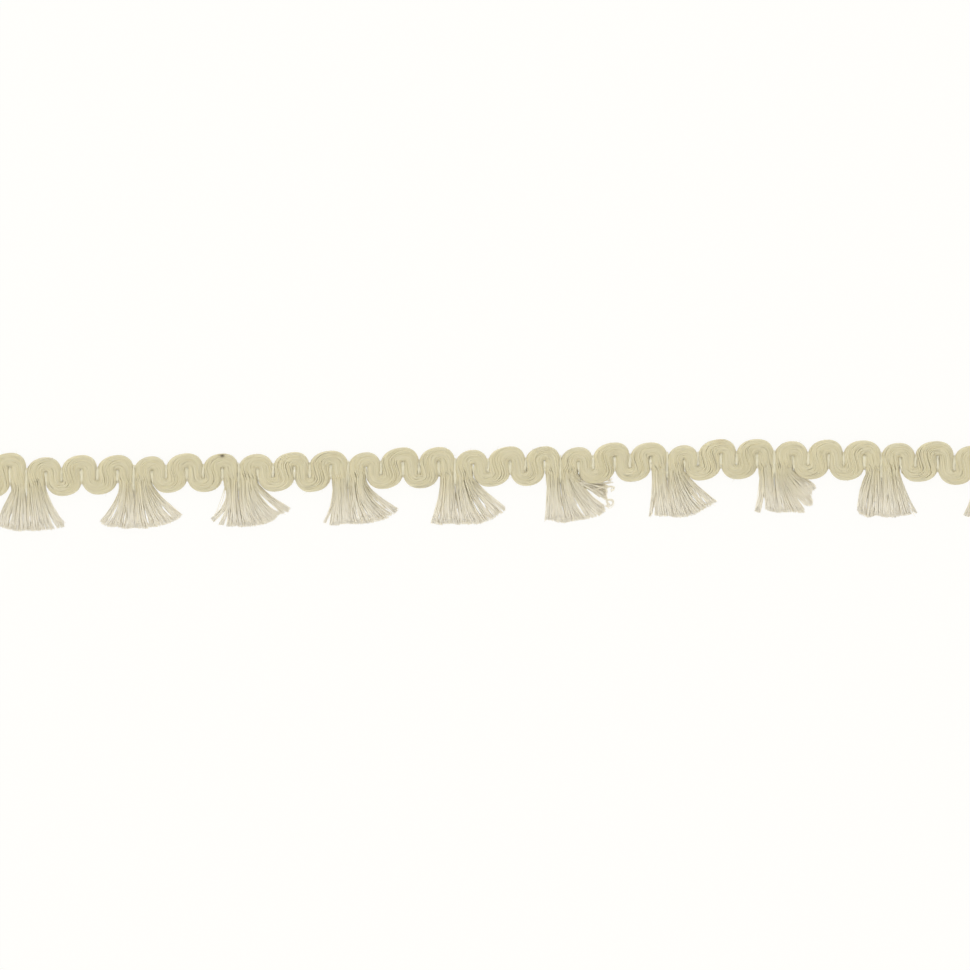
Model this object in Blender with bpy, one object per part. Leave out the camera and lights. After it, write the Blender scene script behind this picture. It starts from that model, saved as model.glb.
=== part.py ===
# Brush fringe trim: a scroll gimp heading with small cut tufts, lying flat on its back.
#
# X runs along the trim, +Y from the tufts towards the heading's crests, +Z up from the
# surface that it lies on. The origin is the middle of its footprint, on that surface.
# The heading is a soft cord that winds up and down. Each third lower bend is cut, and
# its two limbs brush out into a fan of locks. Sizes are in millimetres.

import math
import random

import bmesh
import bpy
from mathutils import Vector

MM = 0.001

# The heading's cord
REPEAT = 18.25
SLIT = 0.31
CORD_HEIGHT = 2.2
CREST_THICKNESS = 2.6
LOWER_CREST = 3.3
SLIT_PLACE = 0.555
CREST_DRIFT = 0.22
SQUARENESS = 2.6
BEND_STEPS = 8
LIMB_CUT = 1.6

# The cord's cross-section, from its flat underside round: share of the half width,
# share of the height
CORD_PROFILE = (
    (-0.62, 0.0),
    (0.62, 0.0),
    (1.0, 0.3),
    (0.95, 0.7),
    (0.52, 1.0),
    (-0.52, 1.0),
    (-0.95, 0.7),
    (-1.0, 0.3),
)

# A tuft's head and its locks
PIECE_GAP = 0.31
SLIT_FOOT = 2.5
HEAD_FOOT = 3.0
HEAD_DOME = 0.3
COLUMNS_PER_LIMB = 4
LAYERS = 3
ROOT_INSET = 0.055
LOCK_GAP = 0.12
LOCK_STATIONS = (0.4, 1.0)
LOCK_LENGTHS = (0.93, 1.02)
RIGHT_LONGER = 0.12
TIP_THICKNESS = 0.34
TIP_LAYER = 0.42

# The middle of the trim's box from the heading's middle line and from the middle repeat
BOX_MIDDLE_X = 0.0
BOX_MIDDLE_Y = -3.246

# One row for each length of heading between two tufts: how far the trim bows up there,
# the two upper notches from the tuft on its left, and the three crests' heights
HEADINGS = (
    {"bow": -2.10, "notches": (5.7, 12.0), "crests": (2.9, 3.4, 4.1)},
    {"bow": -1.60, "notches": (6.0, 12.1), "crests": (3.15, 3.4, 3.35)},
    {"bow": -1.10, "notches": (5.5, 11.8), "crests": (2.8, 3.35, 3.35)},
    {"bow": -0.85, "notches": (5.9, 12.1), "crests": (2.95, 3.3, 3.45)},
    {"bow": -0.40, "notches": (5.6, 12.1), "crests": (2.8, 3.5, 3.6)},
    {"bow": 0.00, "notches": (5.6, 12.0), "crests": (2.75, 3.4, 3.4)},
    {"bow": 0.60, "notches": (5.6, 11.9), "crests": (2.65, 3.5, 3.5)},
    {"bow": 1.10, "notches": (5.3, 11.8), "crests": (2.6, 3.55, 3.55)},
    {"bow": 1.00, "notches": (5.8, 11.8), "crests": (3.2, 3.4, 3.4)},
    {"bow": 0.50, "notches": (5.8, 12.4), "crests": (3.3, 3.6, 3.3)},
    {"bow": -0.10, "notches": (5.7, 12.0), "crests": (3.0, 3.4, 3.4)},
)

# One row for each tuft: its shift from an even spacing, the lean of its left, middle and
# right edges in degrees, positive towards +X, and the locks' length
TUFTS = (
    {"shift": 0.00, "left": -27, "middle": 2, "right": 34, "length": 6.2},
    {"shift": 0.10, "left": -32, "middle": 2, "right": 45, "length": 6.4},
    {"shift": -0.30, "left": -24, "middle": 6, "right": 54, "length": 6.5},
    {"shift": 0.15, "left": -13, "middle": 5, "right": 52, "length": 6.5},
    {"shift": 0.15, "left": -13, "middle": 6, "right": 49, "length": 6.6},
    {"shift": -0.15, "left": -4, "middle": 9, "right": 55, "length": 6.6},
    {"shift": -0.15, "left": -4, "middle": 9, "right": 50, "length": 6.5},
    {"shift": -0.15, "left": -7, "middle": 5, "right": 36, "length": 5.9},
    {"shift": -0.10, "left": -12, "middle": 3, "right": 30, "length": 6.3},
    {"shift": 0.00, "left": -16, "middle": 3, "right": 38, "length": 6.4},
)

YARN_COLOUR = (0.63, 0.56, 0.39, 1.0)
FRINGE_COLOUR = (0.68, 0.62, 0.46, 1.0)


def tuft_x(number):
    """Where tuft number, counted from 0, has its slit. -1 and the count of tufts are the trim's cut ends."""
    even = (number - (len(TUFTS) - 1) / 2) * REPEAT
    shift = TUFTS[number]["shift"] if 0 <= number < len(TUFTS) else 0.0
    return even + shift


def bow(x):
    """How far the heading's middle line lies above that of the middle repeat, smooth through the rows."""
    place = x / REPEAT + (len(HEADINGS) - 1) / 2
    first = min(max(math.floor(place), 0), len(HEADINGS) - 2)
    share = place - first
    near = [min(max(first + step, 0), len(HEADINGS) - 1) for step in (-1, 0, 1, 2)]
    before, start, end, after = [HEADINGS[row]["bow"] for row in near]
    slope_start = (end - before) / 2
    slope_end = (after - start) / 2
    rise = end - start
    square = (3 * rise - 2 * slope_start - slope_end) * share**2
    cube = (slope_start + slope_end - 2 * rise) * share**3
    return start + slope_start * share + square + cube


def placed(x, y, z):
    """A point of the trim, from millimetres along and across the heading to metres in the part's frame."""
    return Vector((x - BOX_MIDDLE_X, y + bow(x) - BOX_MIDDLE_Y, z)) * MM


def bend(slit_x, outer_left, outer_right, pivot_y, side):
    """The cord's left and right edges round a bend, in pairs. side is 1 for a crest, -1 for a lower bend."""
    pairs = []
    for step in range(BEND_STEPS + 1):
        angle = math.pi * (1 - step / BEND_STEPS)
        across = math.cos(angle)
        up = max(math.sin(angle), 0.0)
        half = slit_x - outer_left if across < 0 else outer_right - slit_x
        bulge_x = math.copysign(abs(across) ** (2 / SQUARENESS), across) * (half - SLIT / 2)
        bulge_y = up ** (2 / SQUARENESS) * CREST_THICKNESS
        outer = (slit_x + bulge_x + CREST_DRIFT * up, pivot_y + side * bulge_y)
        inner = (slit_x + across * SLIT / 2, pivot_y + side * up * SLIT / 2)
        pairs.append((outer, inner) if side > 0 else (inner, outer))
    return pairs


def heading_edges(number):
    """The cord's left and right edges along one length of heading, from the tuft before it to the next."""
    start = tuft_x(number - 1)
    end = tuft_x(number)
    row = HEADINGS[number]
    notches = [start, start + row["notches"][0], start + row["notches"][1], end]
    slits = [left + SLIT_PLACE * (right - left) for left, right in zip(notches, notches[1:])]
    lower_pivot = CREST_THICKNESS - LOWER_CREST
    pairs = [((start + SLIT / 2, -LIMB_CUT), (slits[0] - SLIT / 2, -LIMB_CUT))]
    for place, crest in enumerate(row["crests"]):
        pairs += bend(slits[place], notches[place], notches[place + 1], crest - CREST_THICKNESS, 1)
        if place < len(slits) - 1:
            pairs += bend(notches[place + 1], slits[place], slits[place + 1], lower_pivot, -1)
    pairs.append(((end - SLIT / 2, -LIMB_CUT), (slits[-1] + SLIT / 2, -LIMB_CUT)))
    return pairs


def head_sides(number):
    """The left and the right side of tuft number's head, from its own slit."""
    here = tuft_x(number)
    last_notch = HEADINGS[number]["notches"][1] + tuft_x(number - 1) - here
    first_notch = HEADINGS[number + 1]["notches"][0]
    left = last_notch * (1 - SLIT_PLACE) + SLIT / 2
    right = first_notch * SLIT_PLACE - SLIT / 2
    return left, right


def new_material(name, colour):
    material = bpy.data.materials.new(name)
    material.use_nodes = True
    shader = material.node_tree.nodes["Principled BSDF"]
    shader.inputs["Base Color"].default_value = colour
    shader.inputs["Roughness"].default_value = 0.85
    shader.inputs["Metallic"].default_value = 0.0
    return material


def new_object(name, bm, material, collection):
    bmesh.ops.recalc_face_normals(bm, faces=bm.faces)
    mesh = bpy.data.meshes.new(name)
    bm.to_mesh(mesh)
    bm.free()
    mesh.materials.append(material)
    mesh.shade_smooth()
    mesh.set_sharp_from_angle(angle=math.radians(50))
    obj = bpy.data.objects.new(name, mesh)
    collection.objects.link(obj)


def heading_mesh(number):
    """The cord of one length of heading: its cross-section lofted between its two edges."""
    bm = bmesh.new()
    rings = []
    for left, right in heading_edges(number):
        ring = []
        for share, height in CORD_PROFILE:
            x = left[0] + (right[0] - left[0]) * (share + 1) / 2
            y = left[1] + (right[1] - left[1]) * (share + 1) / 2
            ring.append(bm.verts.new(placed(x, y, height * CORD_HEIGHT)))
        rings.append(ring)
    sides = len(CORD_PROFILE)
    for near, far in zip(rings, rings[1:]):
        for corner in range(sides):
            following = (corner + 1) % sides
            bm.faces.new((near[corner], near[following], far[following], far[corner]))
    bm.faces.new(reversed(rings[0]))
    bm.faces.new(rings[-1])
    return bm


def dome(x, left, right):
    """The share of the cord's height that a tuft's head has at x, fullest at the middle of each limb."""
    near, far = (left, 0.0) if x < 0 else (0.0, right)
    off = abs(x - (near + far) / 2) / (far - near) * 2
    return 1 - HEAD_DOME * min(off, 1.0) ** 3


def cut(bm, place, direction):
    everything = bm.verts[:] + bm.edges[:] + bm.faces[:]
    bmesh.ops.bisect_plane(bm, geom=everything, dist=0.001, plane_co=place, plane_no=direction)


def on_limb(face):
    return abs(face.calc_center_median().x) > SLIT / 2


def column_lines(left, right):
    """The lines between the columns of locks, for each of the two limbs."""
    limbs = ((left, -SLIT / 2), (SLIT / 2, right))
    shares = [column / COLUMNS_PER_LIMB for column in range(COLUMNS_PER_LIMB + 1)]
    return [[near + (far - near) * share for share in shares] for near, far in limbs]


def head_block(left, right):
    """A tuft's head, cut into the cells that its locks grow from, with the two limbs standing on it."""
    bm = bmesh.new()
    bmesh.ops.create_cube(bm, size=1.0)
    middle = Vector(((left + right) / 2, -(HEAD_FOOT + SLIT_FOOT) / 2, CORD_HEIGHT / 2))
    bmesh.ops.scale(bm, vec=(right - left, HEAD_FOOT - SLIT_FOOT, CORD_HEIGHT), verts=bm.verts)
    bmesh.ops.translate(bm, vec=middle, verts=bm.verts)
    for limb in column_lines(left, right):
        for x in limb:
            cut(bm, (x, 0, 0), (1, 0, 0))
    for line in range(1, LAYERS):
        cut(bm, (0, 0, CORD_HEIGHT * line / LAYERS), (0, 0, 1))
    bm.normal_update()
    upper = [face for face in bm.faces if face.normal.y > 0.9 and on_limb(face)]
    grown = bmesh.ops.extrude_face_region(bm, geom=upper)["geom"]
    limb_tops = [item for item in grown if isinstance(item, bmesh.types.BMVert)]
    bmesh.ops.translate(bm, vec=(0, SLIT_FOOT - LIMB_CUT - PIECE_GAP, 0), verts=limb_tops)
    bmesh.ops.delete(bm, geom=upper, context="FACES_ONLY")
    for vert in bm.verts:
        vert.co.z *= dome(vert.co.x, left, right)
    return bm


def fan_point(row, root_x, share, along):
    """A point on a line that fans out from the head. share is -1 at the head's left, 1 at its right."""
    edge = row["left"] if share < 0 else row["right"]
    lean = math.radians(row["middle"] + (edge - row["middle"]) * abs(share) ** 1.2)
    reach = row["length"] * (1 + RIGHT_LONGER * max(share, 0.0) ** 2) * along
    return Vector((root_x + reach * math.sin(lean), -HEAD_FOOT - reach * math.cos(lean), 0))


def grow_lock(bm, cell, row, lines, layer, length):
    """Extrudes one cell of the head into a lock between two fanned lines, on the layer of locks under it."""
    root_low = min(vert.co.z for vert in cell.verts)
    root_height = max(vert.co.z for vert in cell.verts) - root_low
    face = cell
    for station in LOCK_STATIONS:
        along = station * length
        face = bmesh.ops.extrude_discrete_faces(bm, faces=[face])["faces"][0]
        before = face.calc_center_median()
        near, far = [fan_point(row, x, share, along) for x, share in lines]
        inwards = (far - near).normalized() * LOCK_GAP / 2
        low = layer * TIP_LAYER * along + root_low * (1 - along) if layer else 0.0
        height = root_height + (TIP_THICKNESS - root_height) * along
        for vert in face.verts:
            corner = near + inwards if vert.co.x < before.x else far - inwards
            vert.co = (corner.x, corner.y, low + height if vert.co.z > before.z else low)


def tuft_mesh(number, row):
    chance = random.Random(number)
    here = tuft_x(number)
    left, right = head_sides(number)
    bm = head_block(left, right)
    bm.normal_update()
    cells = [face for face in bm.faces if face.normal.y < -0.9 and on_limb(face)]
    bmesh.ops.inset_individual(bm, faces=cells, thickness=ROOT_INSET, use_even_offset=True)
    columns = [pair for limb in column_lines(left, right) for pair in zip(limb, limb[1:])]
    for cell in cells:
        middle = cell.calc_center_median()
        edges = next((near, far) for near, far in columns if near < middle.x < far)
        lines = [(x, x / abs(left if x < 0 else right)) for x in edges]
        layer = int(middle.z / dome(middle.x, left, right) / CORD_HEIGHT * LAYERS)
        grow_lock(bm, cell, row, lines, layer, chance.uniform(*LOCK_LENGTHS))
    for vert in bm.verts:
        vert.co = placed(here + vert.co.x, vert.co.y, vert.co.z)
    return bm


def main():
    for obj in list(bpy.data.objects):
        bpy.data.objects.remove(obj, do_unlink=True)
    trim = bpy.data.collections.new("brush_fringe_trim")
    bpy.context.scene.collection.children.link(trim)
    yarn = new_material("heading_yarn", YARN_COLOUR)
    fringe = new_material("tuft_fringe", FRINGE_COLOUR)
    for number in range(len(HEADINGS)):
        new_object(f"heading_{number + 1:02d}", heading_mesh(number), yarn, trim)
    for number, row in enumerate(TUFTS):
        new_object(f"tuft_{number + 1:02d}", tuft_mesh(number, row), fringe, trim)


main()
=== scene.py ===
import math

import bmesh
import bpy
import numpy as np
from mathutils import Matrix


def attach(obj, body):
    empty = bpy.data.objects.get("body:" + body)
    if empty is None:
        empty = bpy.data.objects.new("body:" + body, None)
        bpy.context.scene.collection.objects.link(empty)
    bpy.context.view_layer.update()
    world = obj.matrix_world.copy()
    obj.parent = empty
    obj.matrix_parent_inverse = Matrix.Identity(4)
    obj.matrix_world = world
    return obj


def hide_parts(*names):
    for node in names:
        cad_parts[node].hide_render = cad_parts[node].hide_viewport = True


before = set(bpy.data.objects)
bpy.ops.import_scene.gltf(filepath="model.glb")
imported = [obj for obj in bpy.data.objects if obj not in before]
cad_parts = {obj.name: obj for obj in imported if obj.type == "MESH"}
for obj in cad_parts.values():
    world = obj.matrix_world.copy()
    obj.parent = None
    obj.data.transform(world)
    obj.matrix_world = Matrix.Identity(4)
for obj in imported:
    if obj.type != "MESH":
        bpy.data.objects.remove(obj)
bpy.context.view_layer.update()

mm = 0.001


# Where the trim lies, in millimetres: the part's own layout, with slits and crests fitted more
# closely to the photograph
layout = {
    "repeat": 18.25,  # from tuft to tuft
    "slitOpen": 0.27,  # inside a bend
    "slitShut": 0.05,  # where two lengths of the soft cord press together
    "headSlit": 0.22,  # between a tuft's two limbs
    "slitPlace": 0.555,  # an outer crest's slit, as a share of the crest's width
    "cordHeight": 2.2,
    "crestThickness": 2.6,
    "crestDrift": (0.06, 0.18),  # how far the upper and the lower bends lean to the right
    "squareness": 2.15,  # of a bend's outer edge, 2 would be round
    "limbCut": 1.6,  # how far below the middle line a limb is cut
    "limbSteps": 5,  # rails down a limb
    "footTuck": (0.25, 0.04),  # how far the limbs draw in at a tuft's left and right side
    "tuckFrom": -0.7,  # the height where they begin to, and over what depth they do
    "tuckOver": 1.5,
    "boxMiddleY": -3.246,  # the middle of the part's box, from the middle line
}

# bow: how far each length lies above the middle one; notches: where its crests meet;
# slit: the slit's place in its middle crest; crests and lows: how far its upper and lower bends reach
headingRows = [
    {"bow": -2.10, "notches": (5.7, 12.0), "slit": 0.565, "crests": (2.9, 3.4, 4.3), "lows": (3.3, 3.3)},
    {"bow": -1.60, "notches": (6.0, 12.1), "slit": 0.565, "crests": (3.35, 3.55, 3.35), "lows": (3.35, 3.25)},
    {"bow": -1.10, "notches": (5.5, 11.8), "slit": 0.57, "crests": (2.98, 3.35, 3.22), "lows": (3.3, 3.3)},
    {"bow": -0.85, "notches": (5.9, 12.1), "slit": 0.6, "crests": (3.07, 3.3, 3.4), "lows": (3.35, 3.55)},
    {"bow": -0.40, "notches": (5.6, 12.1), "slit": 0.585, "crests": (2.97, 3.63, 3.6), "lows": (3.35, 3.4)},
    {"bow": 0.00, "notches": (5.6, 12.0), "slit": 0.605, "crests": (2.98, 3.4, 3.27), "lows": (3.35, 3.4)},
    {"bow": 0.60, "notches": (5.6, 11.9), "slit": 0.59, "crests": (2.9, 3.5, 3.32), "lows": (3.4, 3.3)},
    {"bow": 1.10, "notches": (5.3, 11.8), "slit": 0.6, "crests": (2.65, 3.58, 3.55), "lows": (3.4, 3.3)},
    {"bow": 1.00, "notches": (5.8, 11.8), "slit": 0.59, "crests": (3.22, 3.58, 3.57), "lows": (3.25, 3.3)},
    {"bow": 0.50, "notches": (5.8, 12.4), "slit": 0.585, "crests": (3.33, 3.82, 3.27), "lows": (3.2, 3.5)},
    {"bow": -0.10, "notches": (5.7, 12.0), "slit": 0.585, "crests": (3.0, 3.4, 3.4), "lows": (3.3, 3.3)},
]

# shift: how far the tuft hangs off its even place; middle: the angle that its middle hangs at
# outline: how far the fan reaches, in millimetres at an angle from the tuft's head, right is plus
# gaps: where the fan parts: angle, width in degrees, how far down it starts and ends, which is past
# 1 where it is still open at the tips
# late: how much of its swing the left and right edge has made halfway down, 0 is straight down first
# tuck: how far the left edge is drawn in halfway down
tuftRows = [
    {"shift": 0.00, "middle": 2, "late": (0.5, 0.2), "tuck": 0.0,
     "outline": [(-40, 8.3), (-20, 7.8), (0, 7.6), (20, 8.1), (35, 9.0), (42, 9.7), (45, 9.1)],
     "gaps": [(-24, 1.8, 0.4, 1.0), (-4, 1.6, 0.35, 0.9), (6, 1.6, 0.4, 0.9), (34, 1.2, 0.5, 1.2)]},
    {"shift": 0.10, "middle": 2, "late": (0.05, 0.26), "tuck": 0.0,
     "outline": [(-43, 8.8), (-35, 8.7), (-20, 8.0), (0, 7.7), (20, 8.3), (35, 9.05), (45, 9.6), (52, 9.9),
                 (56, 10.1)],
     "gaps": [(-33, 2, 0.15, 0.9), (-14, 1.6, 0.5, 1.0), (20, 1.6, 0.5, 1.0), (47, 1.8, 0.3, 0.95)]},
    {"shift": -0.30, "middle": 6, "late": (-0.6, 0.2), "tuck": 0.3,
     "outline": [(-36, 7.9), (-29, 8.3), (-24, 8.2), (-20, 8.0), (0, 7.8), (20, 8.2), (35, 8.8), (45, 9.2),
                 (50, 9.1), (54, 9.7), (58, 10.2), (62, 10.3)],
     "gaps": [(-27, 3.5, 0.5, 1.4), (-17, 2.5, 0.1, 1.15), (-8, 2.2, 0.3, 1.0), (0, 1.8, 0.35, 0.95),
              (52, 2.2, 0.15, 1.0)]},
    {"shift": 0.15, "middle": 5, "late": (-0.3, 0.1), "tuck": 0.1,
     "outline": [(-30, 8.4), (-20, 8.3), (0, 7.6), (20, 8.25), (35, 9.0), (45, 9.6), (55, 10.1),
                 (58.5, 10.1)],
     "gaps": [(-25, 2.5, 0.6, 1.5), (-13, 2.2, 0.3, 1.0), (16, 2.2, 0.4, 0.95), (29, 1.8, 0.45, 0.95),
              (51, 2.2, 0.2, 0.95)]},
    {"shift": 0.15, "middle": 6, "late": (0.0, 0.3), "tuck": -0.15,
     "outline": [(-28, 9.1), (-20, 8.6), (0, 8.1), (20, 8.75), (35, 9.55), (45, 10.1), (55, 10.5),
                 (58, 10.2)],
     "gaps": [(-20, 1.8, 0.5, 1.0), (6, 2, 0.3, 0.9), (34, 1.8, 0.35, 0.9), (44, 1.6, 0.4, 0.95)]},
    {"shift": -0.15, "middle": 9, "late": (-0.45, 0.42), "tuck": 0.45,
     "outline": [(-18.5, 8.4), (-16, 8.1), (-10, 8.1), (0, 8.4), (20, 8.6), (35, 9.45), (45, 10.15),
                 (50, 10.2), (53, 9.2), (57, 7.6), (61, 9.2), (66, 8.5), (71, 8.6), (74, 9.2)],
     "gaps": [(-8, 1.8, 0.2, 0.9), (8, 2, 0.1, 0.9), (30, 1.6, 0.5, 0.95), (55.5, 2.8, 0.35, 1.3)]},
    {"shift": -0.15, "middle": 9, "late": (-0.05, 0.3), "tuck": 0.1,
     "outline": [(-21.5, 8.5), (-18, 8.0), (-15, 8.1), (0, 7.8), (15, 8.4), (30, 9.0), (45, 9.4), (52, 9.9),
                 (57, 10.4)],
     "gaps": [(-17, 2, 0.5, 1.2), (14, 1.6, 0.3, 0.9), (42, 1.8, 0.2, 0.9), (49, 1.8, 0.3, 1.0)]},
    {"shift": -0.15, "middle": 7, "late": (-0.4, 0.4), "tuck": 0.45,
     "outline": [(-24.5, 7.9), (-17.5, 8.0), (-12, 7.1), (-5, 7.3), (0, 7.4), (15, 7.8), (30, 8.6),
                 (35.5, 9.1), (39, 7.9), (42, 8.5), (46, 9.1), (50, 8.8), (54, 8.0), (60, 7.7),
                 (66, 7.95), (70, 7.5)],
     "gaps": [(-14.5, 3.6, 0.3, 1.25), (39, 1.5, 0.6, 1.3)]},
    {"shift": -0.10, "middle": 3, "late": (0.62, 0.28), "tuck": -0.35,
     "outline": [(-34, 7.2), (-30, 8.1), (-26, 8.4), (-15, 8.4), (-7, 7.85), (10, 8.0), (25, 8.5), (36, 8.95),
                 (38, 8.7), (41, 9.4)],
     "gaps": [(-18, 1.6, 0.3, 0.9), (-9, 1.4, 0.4, 0.95), (37.5, 1.4, 0.5, 1.2)]},
    {"shift": 0.00, "middle": 3, "late": (0.1, 0.4), "tuck": 0.1,
     "outline": [(-31, 8.3), (-20, 8.0), (0, 7.7), (20, 8.1), (35, 8.9), (46, 9.3)],
     "gaps": [(-22, 2, 0.5, 1.2), (20, 2, 0.5, 1.0)]},
]


def tuftX(number):
    even = (number - (len(tuftRows) - 1) / 2) * layout["repeat"]
    return even + (tuftRows[number]["shift"] if 0 <= number < len(tuftRows) else 0.0)


def bowAt(x):
    # how far the heading's middle line lies above that of the middle repeat
    place = np.asarray(x, float) / layout["repeat"] + (len(headingRows) - 1) / 2
    first = np.clip(np.floor(place).astype(int), 0, len(headingRows) - 2)
    share = place - first
    bows = np.array([row["bow"] for row in headingRows])
    before, start, end, after = (bows[np.clip(first + step, 0, len(bows) - 1)] for step in (-1, 0, 1, 2))
    slopeStart = (end - before) / 2
    slopeEnd = (after - start) / 2
    rise = end - start
    square = (3 * rise - 2 * slopeStart - slopeEnd) * share**2
    return start + slopeStart * share + square + (slopeStart + slopeEnd - 2 * rise) * share**3


def placed(points):
    # millimetres along and across the heading to metres in the part's own frame
    points = np.array(points, float)
    points[..., 1] += bowAt(points[..., 0]) - layout["boxMiddleY"]
    return points * mm


def bendRails(slitX, outerLeft, outerRight, pivotY, side, steps):
    rails = []
    power = 2 / layout["squareness"]
    for step in range(steps + 1):
        angle = math.pi * (1 - step / steps)
        across = math.cos(angle)
        up = max(math.sin(angle), 0.0)
        half = slitX - outerLeft if across < 0 else outerRight - slitX
        bulgeX = math.copysign(abs(across) ** power, across) * (half - layout["slitShut"] / 2)
        bulgeY = up**power * layout["crestThickness"]
        drift = layout["crestDrift"][0 if side > 0 else 1]
        outer = (slitX + bulgeX + drift * up, pivotY + side * bulgeY)
        inner = (slitX + across * layout["slitOpen"] / 2, pivotY + side * up * layout["slitOpen"] / 2)
        rails.append((outer, inner) if side > 0 else (inner, outer))
    return rails


def slitLines(number):
    # where the heading's upper bends meet, and the slits inside them
    start = tuftX(number - 1)
    end = tuftX(number)
    row = headingRows[number]
    notches = [start, start + row["notches"][0], start + row["notches"][1], end]
    places = (layout["slitPlace"], row["slit"], layout["slitPlace"])
    slits = [left + place * (right - left) for left, right, place in zip(notches, notches[1:], places)]
    return notches, slits


def limbRails(headX, slitX, pivot, foot, side):
    # a limb that runs down to a tuft: side is 1 where the tuft's slit lies to its right
    rails = []
    knee = layout["tuckFrom"]
    for y in np.linspace(pivot, -foot, layout["limbSteps"] + 1)[1:]:
        head = np.interp(y, (-foot, pivot), (layout["headSlit"] / 2, layout["slitShut"] / 2))
        gap = np.interp(y, (knee, pivot), (layout["slitShut"] / 2, layout["slitOpen"] / 2))
        tuck = layout["footTuck"][0 if side > 0 else 1] * min(max((knee - y) / layout["tuckOver"], 0), 1)
        rails.append(((headX - side * head, y), (slitX + side * (gap + tuck), y)))
    return rails


def headingRails(number, steps, footLeft, footRight):
    # the cord's left and right edge along one length of heading
    row = headingRows[number]
    notches, slits = slitLines(number)
    firstPivot = row["crests"][0] - layout["crestThickness"]
    lastPivot = row["crests"][-1] - layout["crestThickness"]
    rails = limbRails(notches[0], slits[0], firstPivot, footLeft, -1)[::-1]
    for place, crest in enumerate(row["crests"]):
        pivot = crest - layout["crestThickness"]
        rails += bendRails(slits[place], notches[place], notches[place + 1], pivot, 1, steps)
        if place < len(slits) - 1:
            lowerPivot = layout["crestThickness"] - row["lows"][place]
            rails += bendRails(notches[place + 1], slits[place], slits[place + 1], lowerPivot, -1, steps)
    rails += limbRails(notches[-1], slits[-1], lastPivot, footRight, 1)
    return np.array(rails)


def headSides(number):
    # how far a tuft's head reaches to the left and right of its slit
    here = tuftX(number)
    lastSlit = slitLines(number)[1][-1]
    firstSlit = slitLines(number + 1)[1][0]
    left = lastSlit - here + layout["slitShut"] / 2 + layout["footTuck"][0]
    return left, firstSlit - here - layout["slitShut"] / 2 - layout["footTuck"][1]


# The fine fibres on a strand: radians round it and noise along it for each millimetre,
# and how far apart two strands' patterns lie
fibreFlow = {"twist": 0.8, "stretch": 0.14, "apart": 60}

triangles = []  # of each piece, for the last print


def fibreWay(points, shade, sides):
    # where each corner is round and along its own strand
    step = np.linalg.norm(np.diff(points, axis=1), axis=2) / mm
    run = np.concatenate([np.zeros((len(points), 1)), np.cumsum(step, axis=1)], axis=1)[..., None]
    turn = np.arange(sides) / sides * math.tau + run * fibreFlow["twist"]
    along = run * fibreFlow["stretch"] + shade[:, None, None] * fibreFlow["apart"]
    way = np.stack([np.cos(turn), np.sin(turn), np.broadcast_to(along, turn.shape)], axis=3)
    return way.reshape(-1, 3)


def strandMesh(name, bundles, material):
    # curves with a round bevel, made into one closed mesh that knows each strand by its shade
    # a bundle: points [strand, step, xyz] and radii [strand, step] in metres, sides,
    # and how far along towards the pale tip it starts and ends; the pale tip is painted light, standing in
    # for light that shines through thin fibres
    joined = bmesh.new()
    shades, alongs, fibres = [], [], []
    chance = np.random.default_rng(len(name) * 977 + sum(map(ord, name)))
    for points, radii, sides, backlitSpan in bundles:
        curve = bpy.data.curves.new(name, "CURVE")
        curve.dimensions = "3D"
        curve.bevel_depth = mm
        curve.bevel_resolution = (sides - 4) // 2
        strands, steps = radii.shape
        for strand in range(strands):
            spline = curve.splines.new("POLY")
            spline.points.add(steps - 1)
            corners = np.ones((steps, 4))
            corners[:, :3] = points[strand]
            spline.points.foreach_set("co", corners.ravel())
            spline.points.foreach_set("radius", radii[strand] / mm)
        holder = bpy.data.objects.new(name, curve)
        bpy.context.scene.collection.objects.link(holder)
        bpy.context.view_layer.update()
        tubes = bpy.data.meshes.new_from_object(holder)
        joined.from_mesh(tubes)
        shade = chance.random(strands)
        shades.append(np.repeat(shade, steps * sides))
        alongs.append(np.tile(np.repeat(np.linspace(*backlitSpan, steps), sides), strands))
        fibres.append(fibreWay(points, shade, sides))
        bpy.data.objects.remove(holder)
        bpy.data.curves.remove(curve)
        bpy.data.meshes.remove(tubes)
    bmesh.ops.holes_fill(joined, edges=joined.edges, sides=0)
    bmesh.ops.recalc_face_normals(joined, faces=joined.faces)
    mesh = bpy.data.meshes.new(name)
    joined.to_mesh(mesh)
    joined.free()
    for title, values in (("strand", shades), ("along", alongs)):
        layer = mesh.attributes.new(title, "FLOAT", "POINT")
        layer.data.foreach_set("value", np.concatenate(values).astype(np.float32))
    layer = mesh.attributes.new("fibre", "FLOAT_VECTOR", "POINT")
    layer.data.foreach_set("vector", np.concatenate(fibres).astype(np.float32).ravel())
    mesh.materials.append(material)
    mesh.shade_smooth()
    triangles.append(sum(len(face.vertices) - 2 for face in mesh.polygons))
    piece = bpy.data.objects.new(name, mesh)
    bpy.context.scene.collection.objects.link(piece)
    return piece


def waver(chance, strands, steps, waves):
    # a smooth wander from -1 to 1 along each strand
    along = np.linspace(0, 1, steps)[None, :]
    wander = np.zeros((strands, steps))
    for wave in waves:
        phase = chance.random((strands, 1)) * math.tau
        pitch = wave * chance.uniform(0.75, 1.25, (strands, 1))
        wander += np.sin(math.tau * pitch * along + phase) / len(waves)
    return wander


# Shared effects
def namedSockets(group, inputs, outputs):
    for direction, sockets in (("INPUT", inputs), ("OUTPUT", outputs)):
        for title, kind in sockets.items():
            group.interface.new_socket(title, in_out=direction, socket_type="NodeSocket" + kind)


def colourMix(tree, share, first, second):
    mix = tree.nodes.new("ShaderNodeMix")
    mix.data_type = "RGBA"
    tree.links.new(share, mix.inputs["Factor"])
    tree.links.new(first, mix.inputs["A"])
    tree.links.new(second, mix.inputs["B"])
    return mix.outputs["Result"]


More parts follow.
